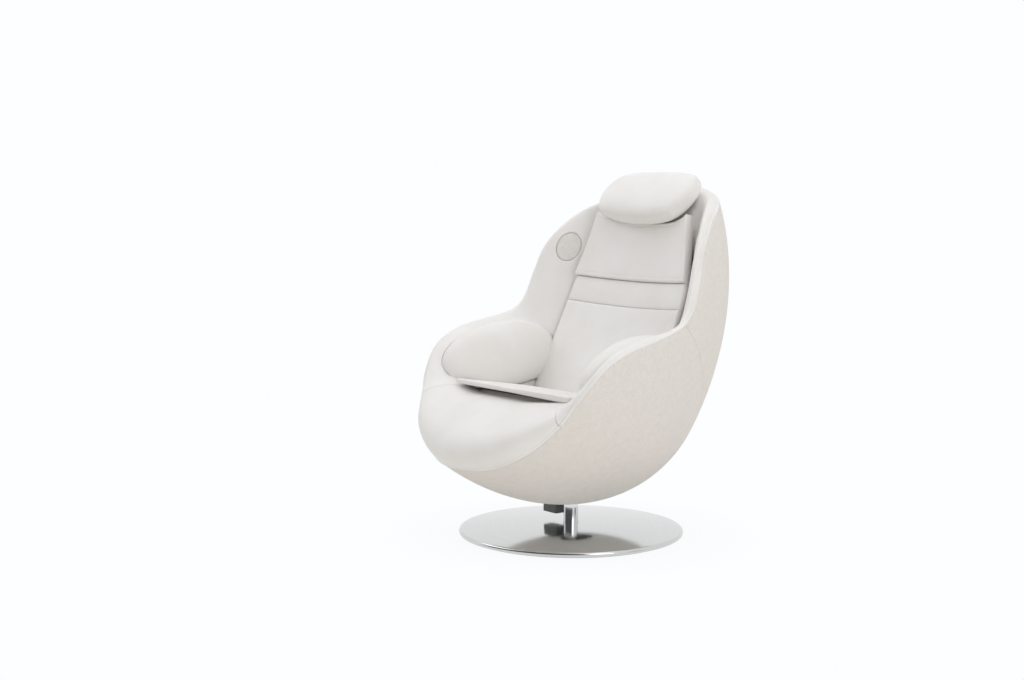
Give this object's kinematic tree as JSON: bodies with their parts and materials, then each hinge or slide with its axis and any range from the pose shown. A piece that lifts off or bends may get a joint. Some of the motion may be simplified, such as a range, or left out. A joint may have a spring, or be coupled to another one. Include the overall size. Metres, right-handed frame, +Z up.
{
  "type": "massage recliner",
  "caption": "Egg-shaped reclining massage armchair on a round swivel base, leather inside and fabric outside.",
  "frame": {"origin": "on the axis of the column, at the floor", "axes": "+Z up, -Y to the front (where the sitter faces), +X to the sitter's left"},
  "size_m": [0.7268, 0.8941, 0.9605],
  "materials": {
    "brushed_disc": "brushed",
    "chrome_tube": "polished",
    "dark_steel": "satin",
    "zinc_steel": "satin",
    "black_rubber": "matte",
    "roller_rubber": "matte",
    "acetal": "satin",
    "moulded_shell": "matte",
    "dark_plastic": "matte",
    "box_plastic": "matte",
    "plywood": "satin",
    "foam": "matte",
    "melange_fabric": "matte",
    "padded_leather": "satin"
  },
  "bodies": {
    "base": {"base_disc": "brushed_disc", "base_ballast": "dark_steel", "base_glide": "black_rubber", "column": "chrome_tube", "base_bolts": "zinc_steel", "thrust_washer": "acetal", "column_screw": "chrome_tube"},
    "swivel": {"swivel_bush": "acetal", "swivel_hub": "dark_steel", "tilt_bracket": "dark_steel", "tilt_axle": "zinc_steel", "axle_clips": "zinc_steel"},
    "actuator": {"actuator_body": "dark_plastic"},
    "rod": {"actuator_rod": "zinc_steel"},
    "shell": {"shell_tub": "moulded_shell", "cover_front": "melange_fabric", "cover_back": "melange_fabric", "shell_frame": "dark_steel", "pivot_bushes": "acetal", "actuator_pin": "zinc_steel", "seat_pan": "plywood", "seat_foam": "foam", "seat_pad": "padded_leather", "front_lip": "padded_leather", "liner_left": "padded_leather", "liner_right": "padded_leather", "bolster_left": "padded_leather", "bolster_right": "padded_leather", "mat_lower": "padded_leather", "mat_band": "padded_leather", "mat_upper": "padded_leather", "grille_left": "melange_fabric", "grille_right": "melange_fabric", "driver_left": "dark_plastic", "driver_right": "dark_plastic", "guide_rail_left": "zinc_steel", "guide_rail_right": "zinc_steel", "crossbar_lower": "plywood", "crossbar_upper": "plywood", "lift_motor": "dark_steel", "control_unit": "dark_plastic", "power_box": "box_plastic", "mains_inlet": "dark_plastic", "pillow_strap": "padded_leather"},
    "pillow": {"head_pillow": "padded_leather"},
    "screw": {"lead_screw": "zinc_steel"},
    "carriage": {"carriage_frame": "dark_steel", "guide_shoes": "acetal", "shaft_bearings": "zinc_steel", "knead_gearbox": "dark_plastic", "knead_motor": "dark_steel"},
    "shaft": {"knead_shaft": "zinc_steel"},
    "left_arm": {"arm_left": "dark_plastic"},
    "right_arm": {"arm_right": "dark_plastic"},
    "left_upper_roller": {"roller_upper_left": "roller_rubber"},
    "left_lower_roller": {"roller_lower_left": "roller_rubber"},
    "right_upper_roller": {"roller_upper_right": "roller_rubber"},
    "right_lower_roller": {"roller_lower_right": "roller_rubber"},
    "rocker": {"rocker_switch": "dark_plastic"}
  },
  "joints": [
    {"name": "swivel_turn", "type": "hinge", "parent": "base", "child": "swivel", "pos_m": [0, 0, 0.15], "axis": [0, 0, 1], "continuous": true},
    {"name": "recline", "type": "hinge", "parent": "swivel", "child": "shell", "pos_m": [0, 0, 0.248], "axis": [-1, 0, 0], "range_deg": [0, 15]},
    {"name": "actuator_swing", "type": "hinge", "parent": "swivel", "child": "actuator", "pos_m": [0, -0.07, 0.16], "axis": [-1, 0, 0], "range_deg": [0, 13.2]},
    {"name": "actuator_stroke", "type": "slide", "parent": "actuator", "child": "rod", "axis": [0, -0.6905, 0.7234], "range_m": [0, 0.029]},
    {"name": "carriage_travel", "type": "slide", "parent": "shell", "child": "carriage", "axis": [0, 0.342, 0.9397], "range_m": [0, 0.22]},
    {"name": "screw_spin", "type": "hinge", "parent": "shell", "child": "screw", "pos_m": [0, 0.34522, 0.49512], "axis": [0, 0.342, 0.9397], "continuous": true},
    {"name": "knead_spin", "type": "hinge", "parent": "carriage", "child": "shaft", "pos_m": [0, 0.27268, 0.46832], "axis": [1, 0, 0], "continuous": true},
    {"name": "arm_left_swing", "type": "hinge", "parent": "carriage", "child": "left_arm", "pos_m": [0, 0.27268, 0.46832], "axis": [1, 0, 0], "range_deg": [-4, 4]},
    {"name": "arm_right_swing", "type": "hinge", "parent": "carriage", "child": "right_arm", "pos_m": [0, 0.27268, 0.46832], "axis": [1, 0, 0], "range_deg": [-4, 4]},
    {"name": "roller_upper_left_spin", "type": "hinge", "parent": "left_arm", "child": "left_upper_roller", "pos_m": [0, 0.24493, 0.5295], "axis": [1, 0, 0], "continuous": true},
    {"name": "roller_lower_left_spin", "type": "hinge", "parent": "left_arm", "child": "left_lower_roller", "pos_m": [0, 0.2121, 0.43929], "axis": [1, 0, 0], "continuous": true},
    {"name": "roller_upper_right_spin", "type": "hinge", "parent": "right_arm", "child": "right_upper_roller", "pos_m": [0, 0.24493, 0.5295], "axis": [1, 0, 0], "continuous": true},
    {"name": "roller_lower_right_spin", "type": "hinge", "parent": "right_arm", "child": "right_lower_roller", "pos_m": [0, 0.2121, 0.43929], "axis": [1, 0, 0], "continuous": true},
    {"name": "rocker_tilt", "type": "hinge", "parent": "shell", "child": "rocker", "pos_m": [-0.085, -0.008, 0.067], "axis": [0, 1, 0], "range_deg": [-7, 7]},
    {"name": "pillow_flip", "type": "hinge", "parent": "shell", "child": "pillow", "pos_m": [0, 0.3535, 0.9375], "axis": [-1, 0, 0], "range_deg": [0, 110]}
  ],
  "couplings": [
    {"joint": "actuator_swing", "follows": "recline", "ratio": 0.86},
    {"joint": "actuator_stroke", "follows": "recline", "m_per_rad": 0.10848},
    {"joint": "screw_spin", "follows": "carriage_travel", "rad_per_m": 785.4}
  ]
}
